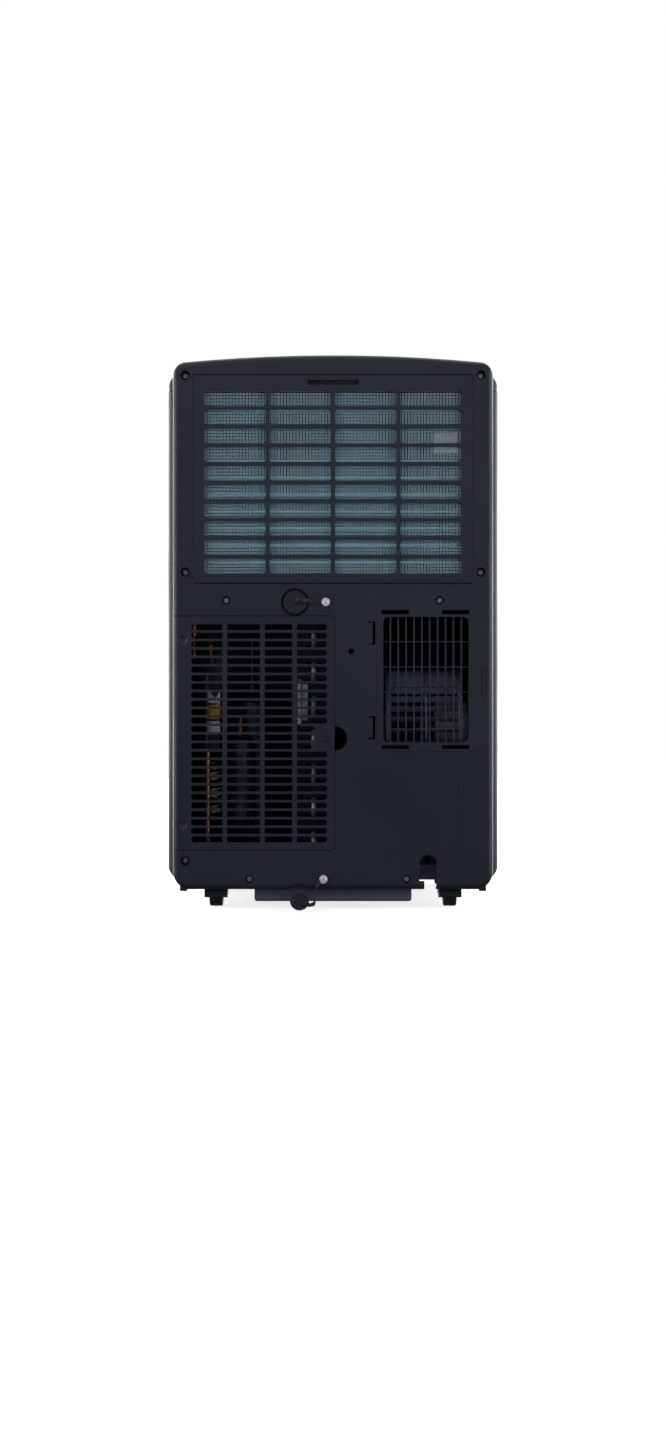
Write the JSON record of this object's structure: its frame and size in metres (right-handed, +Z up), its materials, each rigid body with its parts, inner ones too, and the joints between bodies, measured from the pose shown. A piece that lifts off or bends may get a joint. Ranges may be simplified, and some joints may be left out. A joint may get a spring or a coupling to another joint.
{
  "type": "portable air conditioner",
  "caption": "Upright casing on casters with filter grilles and an exhaust window at its flat back, a top louver over inner vanes, push buttons and plugged drains.",
  "frame": {"origin": "on the floor, under the middle of the overall box", "axes": "+Z up; the bowed front faces -Y; the flat back with its grilles faces +Y; +X is on the left of someone who looks at the back"},
  "size_m": [0.432, 0.345, 0.6972],
  "materials": {
    "shell_dark": "fine satin texture",
    "case_slate": "satin",
    "panel_black": "satin gloss",
    "display_smoke": "polished",
    "button_dark": "satin gloss",
    "duct_black": "matt",
    "base_dark": "matt",
    "plug_rubber": "matt",
    "caster_black": "matt",
    "caster_wheel": "matt",
    "screw_grey": "dull zinc",
    "screw_bright": "bright zinc",
    "filter_mesh": "woven",
    "pan_galvanised": "galvanised",
    "compressor_black": "gloss black",
    "fins_blue": "coated",
    "fins_plain": "plain",
    "copper": "drawn copper",
    "motor_grey": "satin",
    "electrics": "matt",
    "electrics_box": "satin"
  },
  "bodies": {
    "unit": {"rear_shell": "shell_dark", "side_clips": "shell_dark", "front_case": "case_slate", "control_panel": "panel_black", "display_window": "display_smoke", "control_board": "electrics", "side_handles": "shell_dark", "outlet_duct": "duct_black", "louver_motor": "motor_grey", "shell_screws": "screw_grey", "strap_screws": "screw_bright", "exhaust_grille": "shell_dark", "cord_inlet": "shell_dark", "drain_spouts": "base_dark", "upper_drain_strap": "plug_rubber", "lower_drain_strap": "plug_rubber", "caster_sockets": "shell_dark", "base_pan": "pan_galvanised", "drip_tray": "base_dark", "deck_tray": "base_dark", "compressor": "compressor_black", "compressor_mounts": "plug_rubber", "accumulator": "compressor_black", "condenser_coil": "fins_plain", "evaporator_coil": "fins_blue", "coil_return_bends": "copper", "refrigerant_pipes": "copper", "exhaust_housing": "base_dark", "indoor_housing": "base_dark", "fan_motors": "motor_grey", "control_box": "electrics_box"},
    "louver": {"louver_flap": "case_slate"},
    "vane_link": {"vane_link": "duct_black"},
    "upper_filter": {"upper_filter_frame": "shell_dark", "upper_filter_mesh": "filter_mesh"},
    "lower_filter": {"lower_filter_door": "shell_dark", "door_screw": "screw_grey"},
    "upper_plug": {"upper_drain_plug": "plug_rubber"},
    "lower_plug": {"lower_drain_plug": "plug_rubber"},
    "exhaust_fan": {"exhaust_wheel": "base_dark"},
    "indoor_fan": {"indoor_wheel": "base_dark"},
    "vane_1": {"vane_1": "duct_black"},
    "vane_2": {"vane_2": "duct_black"},
    "vane_3": {"vane_3": "duct_black"},
    "vane_4": {"vane_4": "duct_black"},
    "vane_5": {"vane_5": "duct_black"},
    "button_timer": {"button_timer": "button_dark"},
    "button_power": {"button_power": "button_dark"},
    "button_warmer": {"button_warmer": "button_dark"},
    "button_cooler": {"button_cooler": "button_dark"},
    "button_mode": {"button_mode": "button_dark"},
    "button_fan": {"button_fan": "button_dark"},
    "caster_rear_left": {"caster_fork_rear_left": "caster_black"},
    "wheel_rear_left": {"caster_wheel_rear_left": "caster_wheel"},
    "caster_rear_right": {"caster_fork_rear_right": "caster_black"},
    "wheel_rear_right": {"caster_wheel_rear_right": "caster_wheel"},
    "caster_front_left": {"caster_fork_front_left": "caster_black"},
    "wheel_front_left": {"caster_wheel_front_left": "caster_wheel"},
    "caster_front_right": {"caster_fork_front_right": "caster_black"},
    "wheel_front_right": {"caster_wheel_front_right": "caster_wheel"}
  },
  "joints": [
    {"name": "louver_hinge", "type": "hinge", "parent": "unit", "child": "louver", "pos_m": [0, -0.018, 0.68379], "axis": [-1, 0, 0], "range_deg": [0, 75]},
    {"name": "upper_filter_hinge", "type": "hinge", "parent": "unit", "child": "upper_filter", "pos_m": [0, 0.151, 0.4117], "axis": [-1, 0, 0], "range_deg": [0, 40]},
    {"name": "lower_filter_hinge", "type": "hinge", "parent": "unit", "child": "lower_filter", "pos_m": [0.19975, 0.13775, 0.2225], "axis": [0, 0, -1], "range_deg": [0, 70]},
    {"name": "upper_plug_pull", "type": "slide", "parent": "unit", "child": "upper_plug", "axis": [0, 1, 0], "range_m": [0, 0.014], "deforming": ["upper_drain_strap"]},
    {"name": "lower_plug_pull", "type": "slide", "parent": "unit", "child": "lower_plug", "axis": [0, 1, 0], "range_m": [0, 0.014], "deforming": ["lower_drain_strap"]},
    {"name": "exhaust_fan_spin", "type": "hinge", "parent": "unit", "child": "exhaust_fan", "pos_m": [-0.118, 0.02, 0.222], "axis": [1, 0, 0], "continuous": true},
    {"name": "indoor_fan_spin", "type": "hinge", "parent": "unit", "child": "indoor_fan", "pos_m": [0, -0.083, 0.543], "axis": [1, 0, 0], "continuous": true},
    {"name": "vane_1_swing", "type": "hinge", "parent": "unit", "child": "vane_1", "pos_m": [-0.12039, -0.06, 0.66279], "axis": [0, 1, 0], "range_deg": [-35, 35]},
    {"name": "vane_2_swing", "type": "hinge", "parent": "unit", "child": "vane_2", "pos_m": [-0.06019, -0.06, 0.66279], "axis": [0, 1, 0], "range_deg": [-35, 35]},
    {"name": "vane_3_swing", "type": "hinge", "parent": "unit", "child": "vane_3", "pos_m": [0, -0.06, 0.66279], "axis": [0, 1, 0], "range_deg": [-35, 35]},
    {"name": "vane_4_swing", "type": "hinge", "parent": "unit", "child": "vane_4", "pos_m": [0.06019, -0.06, 0.66279], "axis": [0, 1, 0], "range_deg": [-35, 35]},
    {"name": "vane_5_swing", "type": "hinge", "parent": "unit", "child": "vane_5", "pos_m": [0.12039, -0.06, 0.66279], "axis": [0, 1, 0], "range_deg": [-35, 35]},
    {"name": "vane_link_pivot", "type": "hinge", "parent": "vane_1", "child": "vane_link", "pos_m": [-0.12039, -0.107, 0.64779], "axis": [0, 1, 0], "range_deg": [-35, 35]},
    {"name": "button_timer_press", "type": "slide", "parent": "unit", "child": "button_timer", "axis": [0, 0, -1], "range_m": [0, 0.0012], "stiffness_N_per_m": 500, "springref_m": -0.0006},
    {"name": "button_power_press", "type": "slide", "parent": "unit", "child": "button_power", "axis": [0, 0, -1], "range_m": [0, 0.0012], "stiffness_N_per_m": 500, "springref_m": -0.0006},
    {"name": "button_warmer_press", "type": "slide", "parent": "unit", "child": "button_warmer", "axis": [0, 0, -1], "range_m": [0, 0.0012], "stiffness_N_per_m": 500, "springref_m": -0.0006},
    {"name": "button_cooler_press", "type": "slide", "parent": "unit", "child": "button_cooler", "axis": [0, 0, -1], "range_m": [0, 0.0012], "stiffness_N_per_m": 500, "springref_m": -0.0006},
    {"name": "button_mode_press", "type": "slide", "parent": "unit", "child": "button_mode", "axis": [0, 0, -1], "range_m": [0, 0.0012], "stiffness_N_per_m": 500, "springref_m": -0.0006},
    {"name": "button_fan_press", "type": "slide", "parent": "unit", "child": "button_fan", "axis": [0, 0, -1], "range_m": [0, 0.0012], "stiffness_N_per_m": 500, "springref_m": -0.0006},
    {"name": "swivel_rear_left", "type": "hinge", "parent": "unit", "child": "caster_rear_left", "pos_m": [-0.1485, 0.1, 0.045], "axis": [0, 0, 1], "continuous": true},
    {"name": "roll_rear_left", "type": "hinge", "parent": "caster_rear_left", "child": "wheel_rear_left", "pos_m": [-0.1485, 0.109, 0.0155], "axis": [1, 0, 0], "continuous": true},
    {"name": "swivel_rear_right", "type": "hinge", "parent": "unit", "child": "caster_rear_right", "pos_m": [0.1485, 0.1, 0.045], "axis": [0, 0, 1], "continuous": true},
    {"name": "roll_rear_right", "type": "hinge", "parent": "caster_rear_right", "child": "wheel_rear_right", "pos_m": [0.1485, 0.109, 0.0155], "axis": [1, 0, 0], "continuous": true},
    {"name": "swivel_front_left", "type": "hinge", "parent": "unit", "child": "caster_front_left", "pos_m": [-0.1485, -0.105, 0.045], "axis": [0, 0, 1], "continuous": true},
    {"name": "roll_front_left", "type": "hinge", "parent": "caster_front_left", "child": "wheel_front_left", "pos_m": [-0.1485, -0.096, 0.0155], "axis": [1, 0, 0], "continuous": true},
    {"name": "swivel_front_right", "type": "hinge", "parent": "unit", "child": "caster_front_right", "pos_m": [0.1485, -0.105, 0.045], "axis": [0, 0, 1], "continuous": true},
    {"name": "roll_front_right", "type": "hinge", "parent": "caster_front_right", "child": "wheel_front_right", "pos_m": [0.1485, -0.096, 0.0155], "axis": [1, 0, 0], "continuous": true}
  ],
  "couplings": [
    {"joint": "vane_2_swing", "follows": "vane_1_swing", "ratio": 1},
    {"joint": "vane_3_swing", "follows": "vane_1_swing", "ratio": 1},
    {"joint": "vane_4_swing", "follows": "vane_1_swing", "ratio": 1},
    {"joint": "vane_5_swing", "follows": "vane_1_swing", "ratio": 1},
    {"joint": "vane_link_pivot", "follows": "vane_1_swing", "ratio": -1}
  ]
}
